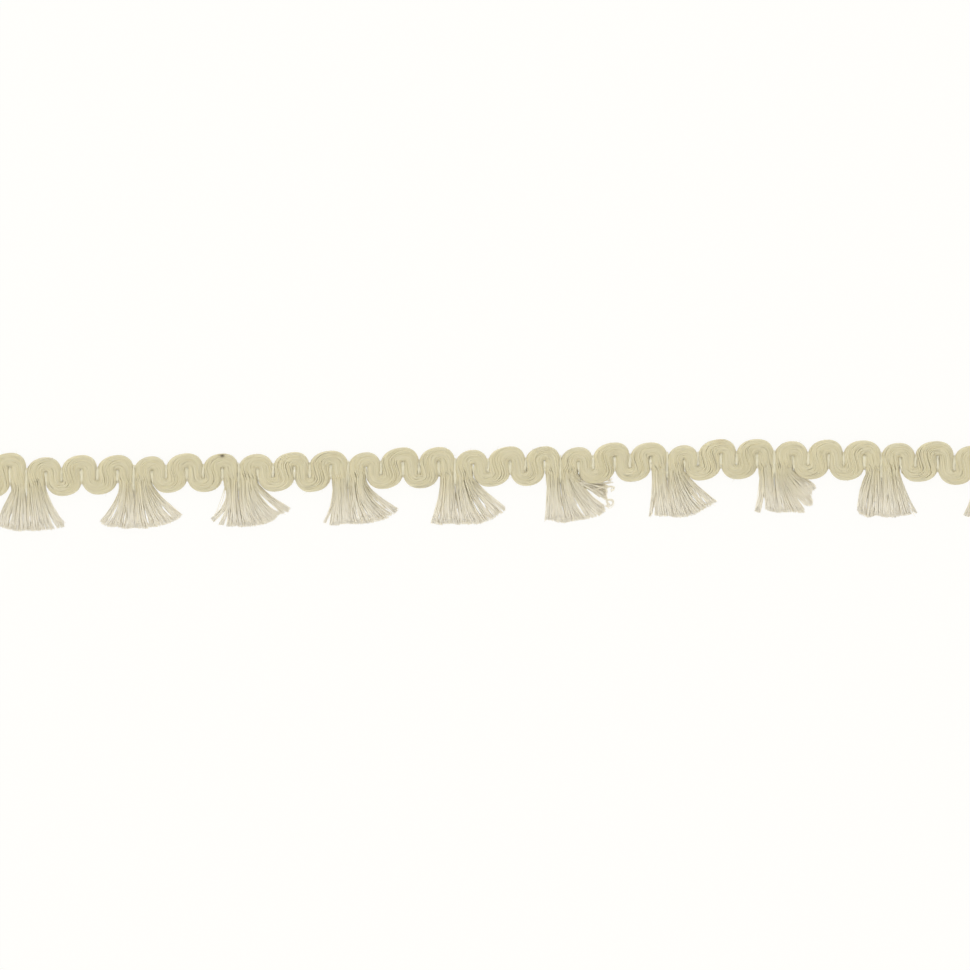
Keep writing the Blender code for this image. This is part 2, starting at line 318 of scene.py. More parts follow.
def cottonGroup():
    # natural cotton: strand to strand tint, slow blotches and fine fibre lines, with paler tips that are
    # painted light, standing in for the light that shines through thin fibres
    group = bpy.data.node_groups.new("cottonFibre", "ShaderNodeTree")
    inputs = {"Position": "Vector", "Strand": "Float", "Along": "Float", "Fibre": "Vector"}
    inputs.update({"Dark": "Color", "Light": "Color", "Tip": "Color", "Tip Share": "Float"})
    namedSockets(group, inputs, {"Color": "Color", "Height": "Float"})
    nodes = group.nodes
    links = group.links
    given = nodes.new("NodeGroupInput").outputs
    result = nodes.new("NodeGroupOutput").inputs
    blotch = nodes.new("ShaderNodeTexNoise")
    blotch.inputs["Scale"].default_value = 260.0
    blotch.inputs["Detail"].default_value = 2.0
    links.new(given["Position"], blotch.inputs["Vector"])
    fibre = nodes.new("ShaderNodeTexNoise")
    fibre.inputs["Scale"].default_value = 3.6
    fibre.inputs["Detail"].default_value = 2.0
    fibre.inputs["Roughness"].default_value = 0.6
    links.new(given["Fibre"], fibre.inputs["Vector"])
    lines = nodes.new("ShaderNodeMapRange")
    lines.inputs["From Min"].default_value = 0.36
    lines.inputs["From Max"].default_value = 0.64
    links.new(fibre.outputs["Fac"], lines.inputs["Value"])
    # how much each of them says in the mix from dark to light
    shares = ((given["Strand"], 0.4), (blotch.outputs["Fac"], 0.25), (lines.outputs["Result"], 0.35))
    tint = None
    for source, share in shares:
        adding = nodes.new("ShaderNodeMath")
        adding.operation = "MULTIPLY_ADD"
        adding.inputs[1].default_value = share
        adding.inputs[2].default_value = 0.0
        links.new(source, adding.inputs[0])
        if tint:
            links.new(tint, adding.inputs[2])
        tint = adding.outputs[0]
    body = colourMix(group, tint, given["Dark"], given["Light"])
    # painted light: towards the tips the colour turns paler, standing in for light that shines through the
    # thin fibres
    backlitTip = nodes.new("ShaderNodeMapRange")
    backlitTip.inputs["From Min"].default_value = 0.22
    backlitTip.inputs["From Max"].default_value = 0.85
    links.new(given["Along"], backlitTip.inputs["Value"])
    links.new(given["Tip Share"], backlitTip.inputs["To Max"])
    links.new(colourMix(group, backlitTip.outputs["Result"], body, given["Tip"]), result["Color"])
    links.new(fibre.outputs["Fac"], result["Height"])
    return group


def markGroup():
    # a small soft-edged mark at a point of the trim
    group = bpy.data.node_groups.new("smallMark", "ShaderNodeTree")
    inputs = {"Position": "Vector", "Color": "Color", "Centre": "Vector", "Radius": "Float"}
    inputs.update({"Strength": "Float", "Mark": "Color"})
    namedSockets(group, inputs, {"Color": "Color"})
    nodes = group.nodes
    links = group.links
    given = nodes.new("NodeGroupInput").outputs
    result = nodes.new("NodeGroupOutput").inputs
    away = nodes.new("ShaderNodeVectorMath")
    away.operation = "DISTANCE"
    links.new(given["Position"], away.inputs[0])
    links.new(given["Centre"], away.inputs[1])
    fade = nodes.new("ShaderNodeMapRange")
    fade.interpolation_type = "SMOOTHSTEP"
    fade.inputs["To Max"].default_value = 0.0
    links.new(away.outputs["Value"], fade.inputs["Value"])
    links.new(given["Radius"], fade.inputs["From Max"])
    links.new(given["Strength"], fade.inputs["To Min"])
    links.new(colourMix(group, fade.outputs["Result"], given["Color"], given["Mark"]), result["Color"])
    return group


def cottonMaterial(name, settings):
    material = bpy.data.materials.new(name)
    material.use_nodes = True
    nodes = material.node_tree.nodes
    links = material.node_tree.links
    shader = nodes["Principled BSDF"]
    shader.inputs["Roughness"].default_value = settings["roughness"]
    shader.inputs["Specular IOR Level"].default_value = 0.25
    shader.inputs["Subsurface Weight"].default_value = 0.3
    shader.inputs["Subsurface Radius"].default_value = (0.9, 0.8, 0.6)
    shader.inputs["Subsurface Scale"].default_value = 0.4 * mm
    where = nodes.new("ShaderNodeTexCoord")
    cotton = nodes.new("ShaderNodeGroup")
    cotton.node_tree = cottonFibre
    links.new(where.outputs["Object"], cotton.inputs["Position"])
    for title, output in (("strand", "Fac"), ("along", "Fac"), ("fibre", "Vector")):
        reader = nodes.new("ShaderNodeAttribute")
        reader.attribute_name = title
        links.new(reader.outputs[output], cotton.inputs[title.capitalize()])
    for title in ("dark", "light", "tip"):
        cotton.inputs[title.capitalize()].default_value = settings[title] + (1,)
    cotton.inputs["Tip Share"].default_value = settings["tipShare"]
    colour = cotton.outputs["Color"]
    for centre, radius, strength, markColour in settings["marks"]:
        mark = nodes.new("ShaderNodeGroup")
        mark.node_tree = smallMark
        links.new(where.outputs["Object"], mark.inputs["Position"])
        links.new(colour, mark.inputs["Color"])
        mark.inputs["Centre"].default_value = [value * mm for value in centre]
        mark.inputs["Radius"].default_value = radius * mm
        mark.inputs["Strength"].default_value = strength
        mark.inputs["Mark"].default_value = markColour + (1,)
        colour = mark.outputs["Color"]
    links.new(colour, shader.inputs["Base Color"])
    bump = nodes.new("ShaderNodeBump")
    bump.inputs["Strength"].default_value = settings["bump"]
    bump.inputs["Distance"].default_value = 0.04 * mm
    links.new(cotton.outputs["Height"], bump.inputs["Height"])
    links.new(bump.outputs["Normal"], shader.inputs["Normal"])
    return material


cottonFibre = cottonGroup()
smallMark = markGroup()

cordCotton = {
    "dark": (0.635, 0.572, 0.372),
    "light": (0.755, 0.685, 0.478),
    # tip: painted light, a paler colour for the fuzz, nap, cut ends and slit threads that stands in for light
    # shining through them
    "tip": (0.9, 0.85, 0.64),
    "tipShare": 1.0,
    "roughness": 0.85,
    "bump": 0.8,
    # a seed fleck and two faint tea-coloured marks: centre, radius, strength, colour
    "marks": [
        ((-48.65, 5.1, 1.9), 0.55, 0.95, (0.05, 0.04, 0.025)),
        ((-48.75, 5.2, 1.8), 1.1, 0.4, (0.25, 0.2, 0.12)),
        ((36.3, 7.8, 1.7), 1.3, 0.3, (0.42, 0.3, 0.15)),
        ((-29.6, 5.2, 1.7), 1.0, 0.22, (0.45, 0.33, 0.2)),
    ],
}
fringeCotton = {
    "dark": (0.695, 0.63, 0.43),
    "light": (0.755, 0.685, 0.48),
    # tip: painted light, a paler colour towards the fan's ends that stands in for light shining through the
    # thin filaments
    "tip": (0.88, 0.82, 0.67),
    "tipShare": 1.0,
    "roughness": 0.8,
    "bump": 0.3,
    "marks": [],
}
cordMaterial = cottonMaterial("naturalCottonCord", cordCotton)
fringeMaterial = cottonMaterial("brushedCottonFringe", fringeCotton)
print("materials made")


# The heading: fine threads with a slow twist, laid round the section of the winding cord
heading = {
    "bendSteps": 16,
    "halfWidth": 1.35,  # of the cord's section
    "sectionSteps": 360,
    "sectionPowers": (0.72, 0.42, 0.85),  # how square the section is at its sides, below and above
    "threads": 48,
    "threadRadius": 0.122,
    "underThreads": 15,  # stouter ones inside them
    "underRadius": 0.27,
    "underInset": 0.38,
    "coreThreads": [(-0.45, 0.5, 0.6), (0.0, 0.5, 0.72), (0.45, 0.5, 0.6)],  # share, height, radius
    "turns": 0.9,  # of the twist in one length
    "wander": 0.010,  # of a thread round the section, in turns
    "lift": 0.025,  # of a thread in and out
    "widest": 0.97,
    "topSunk": 0.8,  # how far a thread's middle stays below the cord's top, in radii
    "radiusRange": (0.85, 1.12),
    "radiusWaver": 0.08,
    "footOverlap": 1.5,  # how far the threads run on into a tuft's head
    "headShort": 0.6,  # how far their ends may fall short there, and at a plain cut
    "plainShort": 0.08,
    "thinEnd": (0.35, 0.8),  # shares of the radius and of the height at the last steps in a head
    "sunkEnd": (0.8, 0.95, 0.99),
    "cutRings": ((0.3, 24), (0.52, 18), (0.74, 12), (0.96, 6)),  # inset and threads inside a cut end
    "cutRadius": 0.13,
    "cutRagged": 0.1,
    "fuzz": {
        "count": 110,
        "steps": 4,
        "rootInset": 0.06,
        "middleHeight": 1.0,
        "standOff": 0.3,  # outwards, as a share of the reach
        "upwards": 0.3,
        "reach": (0.2, 0.7),
        "lowest": 0.03,
        "above": 0.3,
        "radii": (0.014, 0.007),
    },
    "nap": {
        "count": 90,
        "heights": (0.3, 1.7),
        "rise": 0.12,
        "lean": 0.3,
        "stand": (0.04, 0.16),
        "rootDepth": 0.12,
        "radii": (0.014, 0.012, 0.007),
    },
    # pale threads in the slits: painted light, standing in for the light that shines up through them
    "slitBacklight": {
        "threads": 6,
        "steps": 9,
        "height": 1.72,
        "arch": 0.12,
        "bulge": 0.3,  # how much wider than the slit they lie
        "radius": 0.075,
        "overrun": 0.3,
        "spacing": 0.2,  # how unevenly they lie across the slit, and how much they differ in height
        "uneven": 0.05,
        "stray": 0.03,
        "dip": ((0, 0.2, 0.75, 1), (0.2, 0, 0, 0.5)),  # share along, and millimetres down
        "taper": ((0, 0.2, 0.8, 1), (0.5, 1, 1, 0.4)),
        "slitSpan": (-0.1, -1.15),  # top below the inside of the bend, and the foot's height
        "firstSlant": 0.4,  # the slit beside a tuft leans to the right
        "notchFoot": 1.2,  # the height where the threads between two upper bends end
        "notchSlant": 0.1,
        "headSpan": (1.35, -2.9),  # the heights between which they lie in a head
    },
}


def sectionTable():
    # the cord's section, flat below and round above, at even steps round its edge
    steps = heading["sectionSteps"]
    besides, below, above = heading["sectionPowers"]
    angles = np.linspace(0, math.tau, 4 * steps + 1)
    across = np.sign(np.cos(angles)) * np.abs(np.cos(angles)) ** besides
    power = np.where(np.sin(angles) < 0, below, above)
    up = np.sign(np.sin(angles)) * np.abs(np.sin(angles)) ** power
    step = np.hypot(np.diff(across) * heading["halfWidth"], np.diff(up) * layout["cordHeight"] / 2)
    run = np.concatenate([[0], np.cumsum(step)])
    even = np.linspace(0, run[-1], steps + 1)
    return np.interp(even, run, across), np.interp(even, run, up)


sectionAcross, sectionUp = sectionTable()


def roundSection(turn, inset):
    # share across and height of a thread at this part of a turn, its middle set in from the edge
    places = np.arange(heading["sectionSteps"] + 1)
    at = np.mod(turn, 1.0) * heading["sectionSteps"]
    half = layout["cordHeight"] / 2
    across = np.interp(at, places, sectionAcross) * (1 - inset / heading["halfWidth"])
    return across, half + np.interp(at, places, sectionUp) * (half - inset)


def alongRails(rails, shares, heights):
    # points [thread, step, xyz] at each share between the rails
    left = rails[None, :, 0, :]
    right = rails[None, :, 1, :]
    flat = left + (right - left) * ((shares[..., None] + 1) / 2)
    return np.concatenate([flat, heights[..., None]], axis=2)


def runShare(rails):
    middle = rails.mean(axis=1)
    run = np.concatenate([[0], np.cumsum(np.hypot(*np.diff(middle, axis=0).T))])
    return run / run[-1]


def laidThreads(chance, rails, count, radius, inset, intoHeads):
    # intoHeads: whether the threads' first and last ends run into a tuft's head
    steps = len(rails)
    turn = (np.arange(count) / count)[:, None] + heading["turns"] * runShare(rails)[None, :]
    turn = turn + heading["wander"] * waver(chance, count, steps, (2, 5, 9))
    shares, heights = roundSection(turn, inset)
    shares = shares * (1 + heading["lift"] * waver(chance, count, steps, (3, 8)))
    heights = radius + (heights - radius) * (1 + heading["lift"] * waver(chance, count, steps, (2, 7)))
    radii = radius * chance.uniform(*heading["radiusRange"], (count, 1))
    radii = radii * (1 + heading["radiusWaver"] * waver(chance, count, steps, (7, 13)))
    heights = np.clip(heights, radii, layout["cordHeight"] - radius * heading["topSunk"])
    points = alongRails(rails, np.clip(shares, -heading["widest"], heading["widest"]), heights)
    foot = round(steps / 16)  # steps in the lower part of a limb
    for onward, intoHead in ((1, intoHeads[0]), (-1, intoHeads[1])):
        fromEnd, radiiFromEnd = points[:, ::onward], radii[:, ::onward]
        # the threads stop one after another down the limb
        short = heading["headShort"] if intoHead else heading["plainShort"]
        low = fromEnd[:, :foot, 1]
        fromEnd[:, :foot, 1] = np.where(low < 0, low * chance.uniform(1 - short, 1, (count, 1)), low)
        # and in a head they thin out and sink among its own threads
        if intoHead:
            radiiFromEnd[:, :2] *= heading["thinEnd"]
            fromEnd[:, :3, 2] *= heading["sunkEnd"]
    return placed(points), radii * mm, 4, (0, 0)


def headingPiece(number):
    chance = np.random.default_rng(100 + number)
    intoHeads = (number > 0, number < len(headingRows) - 1)
    footLeft, footRight = (layout["limbCut"] + heading["footOverlap"] * into for into in intoHeads)
    rails = headingRails(number, heading["bendSteps"], footLeft, footRight)
    fine, under = heading["threadRadius"], heading["underRadius"]
    bundles = [
        laidThreads(chance, rails, heading["threads"], fine, fine, intoHeads),
        laidThreads(chance, rails[::2], heading["underThreads"], under, heading["underInset"], intoHeads),
        coreBundle(rails[2:-2:2]),
    ]
    for intoHead, cutRails in zip(intoHeads, (rails[:4], rails[-4:])):
        if not intoHead:
            bundles.append(cutBundle(chance, cutRails))
    bundles += [cordFuzz(chance, rails), edgeNap(chance, rails), slitLightThreads(chance, number)]
    piece = strandMesh(f"headingCord{number + 1:02d}", bundles, cordMaterial)
    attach(piece, "root")
    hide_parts(f"heading_{number + 1:02d}")
    return piece


def coreBundle(rails):
    # three stout strands that fill the cord
    shares, heights, radii = (
        np.repeat(column[:, None], len(rails), axis=1) for column in np.array(heading["coreThreads"]).T
    )
    return placed(alongRails(rails, shares, heights * layout["cordHeight"])), radii * mm, 8, (0, 0)


def cutBundle(chance, rails):
    # the threads that show inside the cord where the trim itself is cut
    shares, heights = [], []
    for inset, count in heading["cutRings"]:
        across, high = roundSection(np.arange(count) / count + inset, inset)
        shares += list(across)
        heights += list(high)
    shares = np.repeat(np.array(shares)[:, None], len(rails), axis=1)
    heights = np.repeat(np.array(heights)[:, None], len(rails), axis=1)
    points = placed(alongRails(rails, shares, heights))
    lowest = 0 if rails[0, 0, 1] < rails[-1, 0, 1] else -1
    ragged = heading["cutRagged"]
    points[:, lowest, 1] += chance.uniform(-ragged, ragged, len(points)) * mm
    return points, np.full(shares.shape, heading["cutRadius"] * mm), 6, (0.4, 0.4)


def cordFuzz(chance, rails):
    # short loose fibres that stand off the cord
    fuzz = heading["fuzz"]
    count = fuzz["count"]
    spots = chance.integers(2, len(rails) - 2, count)
    shares, heights = roundSection(chance.random(count), fuzz["rootInset"])
    spread = (shares[:, None] + 1) / 2
    roots = np.empty((count, 3))
    roots[:, :2] = rails[spots, 0] * (1 - spread) + rails[spots, 1] * spread
    roots[:, 2] = heights
    middle = (rails[spots, 0] + rails[spots, 1]) / 2
    out = np.column_stack([roots[:, :2] - middle, roots[:, 2] - fuzz["middleHeight"]])
    out /= np.linalg.norm(out, axis=1, keepdims=True) + 1e-9
    side = chance.normal(0, 1, (count, 3))
    side[:, 2] = np.abs(side[:, 2]) * fuzz["upwards"]
    side /= np.linalg.norm(side, axis=1, keepdims=True)
    reach = chance.uniform(*fuzz["reach"], (count, 1))
    along = np.linspace(0, 1, fuzz["steps"])[None, :, None]
    points = roots[:, None, :] + (out * fuzz["standOff"])[:, None, :] * reach[:, None, :] * along
    points = points + side[:, None, :] * reach[:, None, :] * along**1.3
    points[..., 2] = np.clip(points[..., 2], fuzz["lowest"], layout["cordHeight"] + fuzz["above"])
    radii = np.repeat(np.linspace(*fuzz["radii"], fuzz["steps"])[None, :], count, axis=0) * mm
    # paler towards their ends: painted light, shining through the thin hairs
    return placed(points), radii, 4, (0.1, 0.7)


def edgeNap(chance, rails):
    # very short fibres along both edges
    nap = heading["nap"]
    count = nap["count"]
    spots = chance.integers(0, len(rails) - 1, count)
    onward = chance.random((count, 1))
    side = chance.integers(0, 2, count)
    here = rails[spots, side] * (1 - onward) + rails[spots + 1, side] * onward
    across = rails[spots, side] - rails[spots, 1 - side]
    across /= np.linalg.norm(across, axis=1, keepdims=True)
    onWay = np.column_stack([-across[:, 1], across[:, 0]])
    height = chance.uniform(*nap["heights"], (count, 1))
    along = np.linspace(0, 1, len(nap["radii"]))[None, :, None]
    lean = chance.normal(0, nap["lean"], (count, 1))
    stand = chance.uniform(*nap["stand"], (count, 1))
    depth = nap["rootDepth"]
    flat = (here - across * depth)[:, None] + across[:, None] * (stand + depth)[:, None] * along
    flat = flat + onWay[:, None] * lean[:, None] * along**1.5
    high = height[:, None] + chance.normal(0, nap["rise"], (count, 1))[:, None] * along
    points = np.concatenate([flat, high], axis=2)
    # paler towards their ends: painted light, shining through the short fibres
    return placed(points), np.repeat(np.array([nap["radii"]]), count, axis=0) * mm, 4, (0.1, 0.5)


def slitLightThreads(chance, number):
    # pale threads laid between two lengths of the cord: painted light, standing in for the light that shines
    # up through the slits and hiding the shade in the crooks
    cotton = heading["slitBacklight"]
    row = headingRows[number]
    notches, slits = slitLines(number)
    shut, wide = layout["slitShut"], layout["slitOpen"]
    lines = []  # middle, start and end, width at both, slant
    for place, slitX in enumerate(slits):
        slant = cotton["firstSlant"] if number and not place else 0
        top = row["crests"][place] - layout["crestThickness"] + wide / 2 + cotton["slitSpan"][0]
        lines.append((slitX, top, cotton["slitSpan"][1] - slant, wide, shut, slant))
    for place, notchX in enumerate(notches[1:-1]):
        lowerPivot = layout["crestThickness"] - row["lows"][place]
        lines.append((notchX, lowerPivot - wide / 2, cotton["notchFoot"], wide, shut, cotton["notchSlant"]))
    if number < len(tuftRows):
        lines.append((notches[-1], *cotton["headSpan"], shut, layout["headSlit"], 0))
    size = (len(lines), cotton["threads"])
    x, start, end, startWide, endWide, slant = (np.array(column)[:, None, None] for column in zip(*lines))
    along = np.linspace(0, 1, cotton["steps"])
    spacing, uneven = cotton["spacing"], cotton["uneven"]
    across = np.linspace(-1, 1, size[1])[None, :, None] + chance.uniform(-spacing, spacing, size + (1,))
    width = startWide + (endWide - startWide) * along + cotton["bulge"]
    overrun = cotton["overrun"] * np.sign(start - end)
    stray = cotton["stray"] * chance.normal(0, 1, size + (len(along),))
    points = np.empty(size + (len(along), 3))
    points[..., 0] = x + slant * along**1.5 + across * width / 2 + stray
    points[..., 1] = start + overrun + (end - start - 2 * overrun) * along
    points[..., 2] = cotton["height"] - np.interp(along, *cotton["dip"]) - cotton["arch"] * across**2
    points[..., 2] += chance.uniform(-uneven, uneven, size + (1,))
    points = placed(points.reshape(-1, len(along), 3))
    radii = cotton["radius"] * np.interp(along, *cotton["taper"]) * mm
    return points, np.repeat(radii[None, :], len(points), axis=0), 4, (0.8, 0.8)


for number in range(len(headingRows)):
    headingPiece(number)
print("heading made")


# The tufts: the cord's two limbs, cut and brushed out into a fan of filaments
tuft = {
    "filaments": 490,
    "radius": 0.072,
    "radiusRange": (0.8, 1.2),
    "taper": (1.1, 0.85),  # at the root and at the tip
    "fanSteps": 8,
    "fanStart": 2.2,  # how far below the heading's middle line the filaments begin to spread
    "rightSooner": 0.5,
    "outlineFrom": -1.5,  # the height that the outline's reaches are measured from
    "bendAt": 0.45,  # how far down a filament turns to its own angle
    "lowest": 0.03,  # where the filaments begin, as a share of the cord's height, and how deep they lie
    "depth": 0.96,
    "limbRound": 0.4,
    "tipHeight": 0.8,
    "tipThin": 0.35,  # how much thinner the fan is at its edges
    "settle": 2.4,  # how soon it settles from the cord's height to the tips'
    "partReach": 14,  # how many degrees away from a gap the filaments still give way
    "locks": 17,
    "lockStray": 0.04,
    "lockMix": 0.4,  # how far filaments stray into the next lock
    "clump": 0.11,
    "spreadStray": 0.012,
    "lockRagged": 0.015,
    "ragged": 0.022,
    "shortShare": 0.06,
    "shortReach": (0.8, 0.95),
    "wander": 0.09,
    "rise": 0.05,
    "rootSpan": (-0.8, 0.9),  # the heights where the filaments start in the head
    "rootSunk": 0.86,
    "rootThin": 0.5,
    "kneeY": 0.4,
    "core": {  # stouter threads inside
        "threads": 14,
        "share": 0.88,  # how far across the head they lie
        "rootInset": 0.96,
        "kneeY": -0.9,
        "reach": 0.66,  # of the fan's outline
        "height": 0.66,
        "headHeight": 1.38,
        "lower": 0.5,  # every other one lies a second time, this much as high
        "edgeDrop": 0.25,
        "edgeThin": 0.5,
        "radii": ((0, 0.1, 0.3, 0.7, 1), (0.3, 0.42, 0.36, 0.2, 0.06)),  # share down and radius
    },
    "strays": {
        "count": 5,
        "steps": 10,
        "share": 0.93,
        "start": 2.2,
        "swing": (0.86, 1.02),
        "reach": (0.85, 1.03),
        "way": ((0.05, 0.4), (0.35, 0.6)),  # least and most of the swing and the drop at half way
        "heights": (1.0, 0.35),
        "heightRange": (0.4, 1.4),
        "radii": (0.05, 0.035),
    },
    "curls": {  # the sixth tuft has them
        "tuft": 5,
        "steps": 16,
        "stray": 0.11,
        "strayGrows": (0.5, 1.3),
        "startHeight": 1.3,
        "endHeight": (0.15, 0.8),
        "rise": 0.12,
        "bends": (3, 9),
        "lowest": 0.07,
        "radius": 0.06,
    },
}

# loose curled threads at the right of the sixth tuft: how many, and their way in millimetres from its slit
curledThreads = [
    (8, [(3.2, -2.3), (5.6, -2.8), (7.4, -2.9), (8.7, -2.7)]),
    (6, [(3.0, -2.5), (5.4, -3.3), (7.4, -3.3), (8.8, -3.2)]),
    (6, [(2.8, -2.9), (5.4, -4.4), (6.9, -4.2), (8.3, -4.0), (9.2, -4.2), (8.8, -4.7)]),
    (6, [(3.6, -3.0), (6.4, -3.9), (7.9, -4.4), (7.8, -5.2), (7.9, -6.2), (8.3, -7.2)]),
    (7, [(3.2, -3.2), (6.0, -4.7), (7.6, -6.1), (8.8, -6.3), (9.1, -6.9), (8.4, -7.5), (7.8, -7.1)]),
    (5, [(2.6, -2.9), (4.7, -3.6), (6.4, -4.7), (7.8, -6.1)]),
]


def outlineAt(row, angle):
    angles, reaches = zip(*row["outline"])
    return np.interp(angle, angles, reaches)


def parted(row, angle, down):
    # pushes the filaments aside where the fan parts
    edges = row["outline"][0][0], row["outline"][-1][0]
    for place, width, start, end in row["gaps"]:
        opening = np.sin(np.clip((down - start) / (end - start), 0, 1) * math.pi) ** 0.6
        off = angle - place
        angle = angle + np.sign(off) * width * opening * np.clip(1 - np.abs(off) / tuft["partReach"], 0, 1)
    return np.clip(angle, *edges)


def fanWays(number, row, chance, share, spread, ragged, wave):
    # the flat way of each thread from the head's foot to the fan's outline
    # share: its place across the head; spread: across the fan, both from -1 to 1
    left, right = headSides(number)
    half = layout["headSlit"] / 2
    rootX = np.where(share < 0, -half + share * (-left - half), half + share * (right - half))
    # the right side springs out sooner, from under the next bend
    start = tuft["fanStart"] - tuft["rightSooner"] * np.clip(share, 0, 1) ** 2
    down = np.linspace(0, 1, tuft["fanSteps"])[None, :]
    edge = np.where(spread < 0, row["outline"][0][0], row["outline"][-1][0])
    angle = row["middle"] + (edge - row["middle"]) * np.abs(spread) ** 1.1
    angle = parted(row, angle[:, None], down)
    reach = (outlineAt(row, angle[:, -1]) * ragged)[:, None]
    turned = np.radians(angle)
    tip = np.stack([np.sin(turned) * reach, tuft["outlineFrom"] - np.cos(turned) * reach], axis=2)
    root = np.stack([rootX, -start], axis=1)[:, None, :]
    late = row["late"][0] + (row["late"][1] - row["late"][0]) * (share + 1) / 2
    turns = np.stack([late, np.full(len(share), tuft["bendAt"])], axis=1)
    way = root + (tip - root) * turns[:, None, :]
    way[..., 0] += row["tuck"] * np.clip(-share, 0, 1)[:, None]
    along = down[..., None]
    flat = (1 - along) ** 2 * root + 2 * along * (1 - along) * way + along**2 * tip
    across = waver(chance, len(share), tuft["fanSteps"], (0.8, 1.9)) * wave * down**0.7
    flat[..., 0] += across * np.cos(turned)
    flat[..., 1] += across * np.sin(turned)
    return rootX, start, flat, down


def fanHeights(high, share, down):
    # from the cord's height at the head down to a thin edge at the tips
    tipHigh = tuft["tipHeight"] * (1 - tuft["tipThin"] * np.abs(share) ** 2)
    settle = np.exp(-tuft["settle"] * down)
    return high[:, None] * (layout["cordHeight"] * settle + tipHigh[:, None] * (1 - settle))


def tuftFilaments(number, row, chance):
    count = tuft["filaments"]
    share = (np.arange(count) + chance.random(count)) / count * 2 - 1
    # each limb is round above and at its two edges
    limb = np.abs(share) * 2 - 1
    roundness = 1 - tuft["limbRound"] * np.abs(limb) ** 3
    high = tuft["lowest"] + tuft["depth"] * roundness * chance.random(count) ** 0.7
    # neighbours cling together in locks
    locks = tuft["locks"]
    stray = tuft["lockStray"]
    lockPlaces = (np.arange(locks) + 0.5) / locks * 2 - 1 + chance.uniform(-stray, stray, locks)
    lock = ((share + 1) / 2 * locks + chance.normal(0, tuft["lockMix"], count)).astype(int)
    lock = np.clip(lock, 0, locks - 1)
    clump = tuft["clump"]
    spread = share * (1 - clump) + lockPlaces[lock] * clump + chance.normal(0, tuft["spreadStray"], count)
    # the cut is a little ragged, and some filaments are short
    lockReach = 1 + chance.uniform(-tuft["lockRagged"], tuft["lockRagged"], locks)
    ragged = lockReach[lock] * (1 - np.abs(chance.normal(0, tuft["ragged"], count)))
    short = chance.random(count) < tuft["shortShare"]
    ragged[short] *= chance.uniform(*tuft["shortReach"], short.sum())
    spread = np.clip(spread, -1, 1)
    rootX, start, flat, down = fanWays(number, row, chance, share, spread, ragged, tuft["wander"])
    steps = tuft["fanSteps"] + 2
    points = np.empty((count, steps, 3))
    points[:, 0, 0] = points[:, 1, 0] = rootX
    points[:, 0, 1] = chance.uniform(*tuft["rootSpan"], count)
    points[:, 1, 1] = tuft["kneeY"] - start
    points[:, :2, 2] = high[:, None] * layout["cordHeight"] * (tuft["rootSunk"], 1.0)
    points[:, 2:, :2] = flat
    points[:, 2:, 2] = fanHeights(high, share, down)
    along = np.linspace(0, 1, steps)[None, :]
    points[:, :, 2] += tuft["rise"] * waver(chance, count, steps, (0.7, 1.6)) * along
    taper = np.linspace(*tuft["taper"], steps)[None, :]
    radii = tuft["radius"] * chance.uniform(*tuft["radiusRange"], (count, 1)) * taper
    radii[:, 0] *= tuft["rootThin"]
    points[..., 2] = np.clip(points[..., 2], radii, layout["cordHeight"] + 0.02)
    points[..., 0] += tuftX(number)
    # paler towards the tips: painted light, standing in for light that shines through the thin ends
    return placed(points), radii * mm, 4, (0, 1)


def tuftCore(number, row, chance):
    # stouter threads under the filaments, which keep daylight out of the head and upper fan
    core = tuft["core"]
    count = core["threads"]
    steps = tuft["fanSteps"] + 2
    share = np.linspace(-core["share"], core["share"], count)
    # thinner and lower towards each limb's edges
    edge = np.abs(np.abs(share) * 2 - 1)[:, None] ** 1.5
    drop = 1 - core["edgeDrop"] * edge
    reach = np.full(count, core["reach"])
    rootX, start, flat, down = fanWays(number, row, chance, share, share, reach, 0.0)
    points = np.empty((count, steps, 3))
    points[:, 0, 0] = points[:, 1, 0] = rootX * core["rootInset"]
    points[:, :2, 1] = (tuft["kneeY"], core["kneeY"])
    points[:, :2, 2] = core["headHeight"] * drop
    points[:, 2:, :2] = flat
    points[:, 2:, 2] = fanHeights(core["height"] * drop[:, 0], share, down)
    radii = np.interp(np.linspace(0, 1, steps), *core["radii"]) * (1 - core["edgeThin"] * edge)
    lower = points[1::2].copy()
    lower[..., 2] = np.clip(lower[..., 2] * core["lower"], radii[1::2], None)
    points = np.concatenate([points, lower])
    points[..., 0] += tuftX(number)
    # paler out in the fan: painted light, lifting the shade under the filaments
    return placed(points), np.concatenate([radii, radii[1::2]]) * mm, 6, (0.15, 0.8)


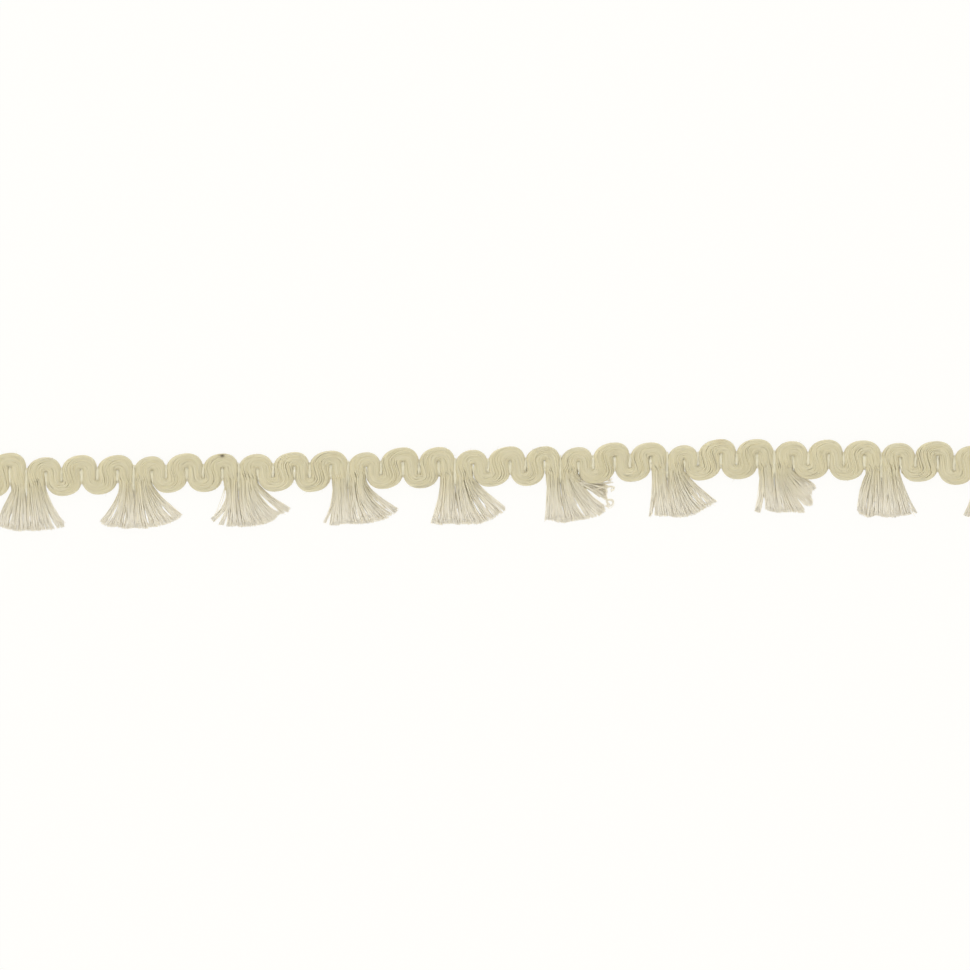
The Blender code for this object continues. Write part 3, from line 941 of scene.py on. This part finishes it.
def strayFilaments(number, row, chance):
    # thin threads that stand out of the fan's outline
    strays = tuft["strays"]
    count = strays["count"]
    steps = strays["steps"]
    onLeft = chance.random(count) < 0.5
    left, right = headSides(number)
    rootX = np.where(onLeft, left * strays["share"], right * strays["share"])
    (leftEdge, leftReach), (rightEdge, rightReach) = row["outline"][0], row["outline"][-1]
    angle = np.radians(np.where(onLeft, leftEdge, rightEdge) * chance.uniform(*strays["swing"], count))
    reach = np.where(onLeft, leftReach, rightReach) * chance.uniform(*strays["reach"], count)
    root = np.stack([rootX, np.full(count, -strays["start"])], axis=1)
    tip = np.stack([np.sin(angle) * reach, tuft["outlineFrom"] - np.cos(angle) * reach], axis=1)
    way = root + (tip - root) * chance.uniform(*strays["way"], (count, 2))
    down = np.linspace(0, 1, steps)[None, :, None]
    flat = (1 - down) ** 2 * root[:, None] + 2 * down * (1 - down) * way[:, None] + down**2 * tip[:, None]
    high = np.linspace(*strays["heights"], steps)[None, :]
    high = high * chance.uniform(*strays["heightRange"], (count, 1))
    points = np.concatenate([flat, high[..., None]], axis=2)
    points[..., 0] += tuftX(number)
    radii = np.linspace(*strays["radii"], steps)[None, :]
    # paler towards the tips: painted light, shining through the thin threads
    return placed(points), np.repeat(radii, count, axis=0) * mm, 4, (0, 1)


def smoothWay(stops, steps):
    # an even run along a smooth curve through the stops
    stops = np.array(stops, float)
    ends = np.vstack([2 * stops[0] - stops[1], stops, 2 * stops[-1] - stops[-2]])
    way = []
    for place in np.linspace(0, len(stops) - 1, steps):
        first = min(int(place), len(stops) - 2)
        t = place - first
        a, b, c, d = ends[first : first + 4]
        way.append(b + 0.5 * t * (c - a + t * (2 * a - 5 * b + 4 * c - d + t * (3 * (b - c) + d - a))))
    return np.array(way)


def curled(number, chance):
    curls = tuft["curls"]
    steps = curls["steps"]
    lines = []
    for count, stops in curledThreads:
        grows = np.linspace(*curls["strayGrows"], len(stops))[:, None]
        for _ in range(count):
            loose = np.array(stops) + chance.normal(0, curls["stray"], (len(stops), 2)) * grows
            height = np.linspace(curls["startHeight"], chance.uniform(*curls["endHeight"]), steps)
            height = height + curls["rise"] * np.sin(np.linspace(0, chance.uniform(*curls["bends"]), steps))
            lines.append(np.column_stack([smoothWay(loose, steps), np.clip(height, curls["lowest"], None)]))
    points = np.array(lines)
    points[..., 0] += tuftX(number)
    # paler along their length: painted light, lifting the shade on the curled threads
    return placed(points), np.full(points.shape[:2], curls["radius"] * mm), 4, (0.5, 1)


def tuftPiece(number, row):
    chance = np.random.default_rng(500 + number)
    bundles = [
        tuftFilaments(number, row, chance),
        tuftCore(number, row, chance),
        strayFilaments(number, row, chance),
    ]
    if number == tuft["curls"]["tuft"]:
        bundles.append(curled(number, chance))
    piece = strandMesh(f"brushTuft{number + 1:02d}", bundles, fringeMaterial)
    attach(piece, "root")
    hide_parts(f"tuft_{number + 1:02d}")
    return piece


for number, row in enumerate(tuftRows):
    tuftPiece(number, row)
print("tufts made,", sum(triangles), "triangles in all,", max(triangles), "in the largest piece")


# Floor, light and camera
studio = {
    "floorSize": 4.0,
    "floorColour": (0.06, 0.06, 0.06, 1),
    "glowColour": (1.0, 0.992, 0.965, 1),
    "floorGlow": 0.93,
    "skyColour": (1.0, 0.995, 0.98, 1),
    "skyStrength": 1.15,
    "lampSize": 0.7,
    "lampPower": 1.0,
    "lampAt": (-0.45, 0.5, 0.7),
    "lampTurn": (-38, -30, 0),
    "cameraAt": (-3.84, 0.09, 2400),  # in millimetres, straight above
    "photoWidth": 165.6,  # how much of the trim the picture takes in
}


def layFloor():
    sheet = bmesh.new()
    bmesh.ops.create_grid(sheet, x_segments=1, y_segments=1, size=studio["floorSize"] / 2)
    mesh = bpy.data.meshes.new("paleFloor")
    sheet.to_mesh(mesh)
    sheet.free()
    material = bpy.data.materials.new("paleFloor")
    material.use_nodes = True
    shader = material.node_tree.nodes["Principled BSDF"]
    shader.inputs["Base Color"].default_value = studio["floorColour"]
    shader.inputs["Roughness"].default_value = 1.0
    shader.inputs["Specular IOR Level"].default_value = 0.0
    shader.inputs["Emission Color"].default_value = studio["glowColour"]
    shader.inputs["Emission Strength"].default_value = studio["floorGlow"]
    mesh.materials.append(material)
    floor = bpy.data.objects.new("paleFloor", mesh)
    bpy.context.scene.collection.objects.link(floor)


def lightStudio():
    world = bpy.data.worlds.new("softStudio")
    bpy.context.scene.world = world
    world.use_nodes = True
    background = world.node_tree.nodes["Background"]
    background.inputs["Color"].default_value = studio["skyColour"]
    background.inputs["Strength"].default_value = studio["skyStrength"]
    light = bpy.data.lights.new("softBox", "AREA")
    light.shape = "SQUARE"
    light.size = studio["lampSize"]
    light.energy = studio["lampPower"]
    lamp = bpy.data.objects.new("softBox", light)
    lamp.location = studio["lampAt"]
    lamp.rotation_euler = [math.radians(turn) for turn in studio["lampTurn"]]
    bpy.context.scene.collection.objects.link(lamp)


def placeCamera():
    camera = bpy.data.cameras.new("photoView")
    camera.sensor_width = 36.0
    camera.lens = camera.sensor_width * studio["cameraAt"][2] / studio["photoWidth"]
    camera.clip_start = 0.01
    camera.clip_end = 20
    eye = bpy.data.objects.new("photoView", camera)
    eye.location = [value * mm for value in studio["cameraAt"]]
    bpy.context.scene.collection.objects.link(eye)
    bpy.context.scene.camera = eye
    bpy.context.scene.view_settings.view_transform = "Standard"
    bpy.context.scene.view_settings.look = "None"


layFloor()
lightStudio()
placeCamera()
print("studio made")
